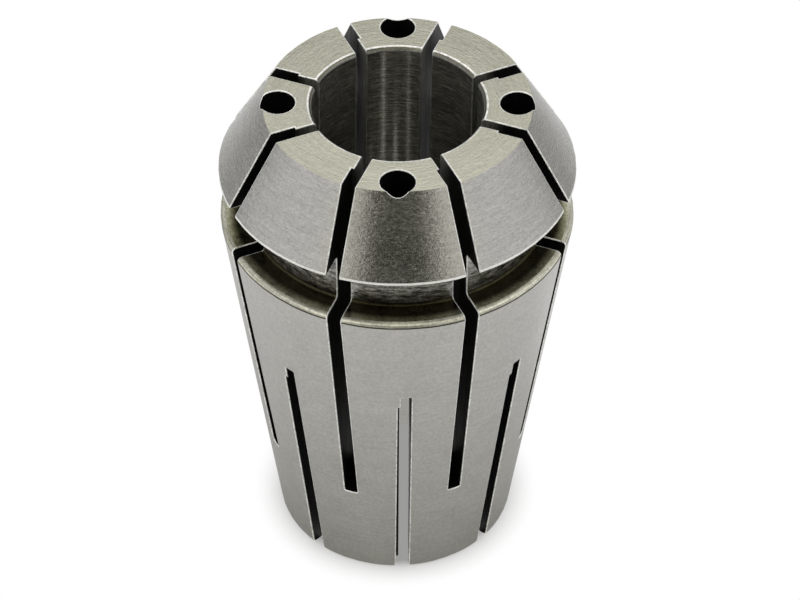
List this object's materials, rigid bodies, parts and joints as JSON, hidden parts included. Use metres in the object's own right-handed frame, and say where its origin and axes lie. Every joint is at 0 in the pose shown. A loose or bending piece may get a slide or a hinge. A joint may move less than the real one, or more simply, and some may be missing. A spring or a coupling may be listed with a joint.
{
  "type": "er collet",
  "caption": "One-piece slotted spring collet in ground steel: long slow taper seat, nut groove, short nose cone, through bore and coolant holes in the face.",
  "frame": {"origin": "centre of the small rear end face, on which the collet stands", "axes": "+Z along the bore axis from the rear end towards the front face; -Y passes through the middle of a jaw that has a coolant hole"},
  "size_m": [0.021, 0.021, 0.0315],
  "materials": {
    "ground_steel": "hardened steel, finely ground outside, with fine turning lines on the cone and in the bore and dark saw-cut slot walls"
  },
  "bodies": {
    "root": {"collet_body": "ground_steel"}
  },
  "joints": []
}
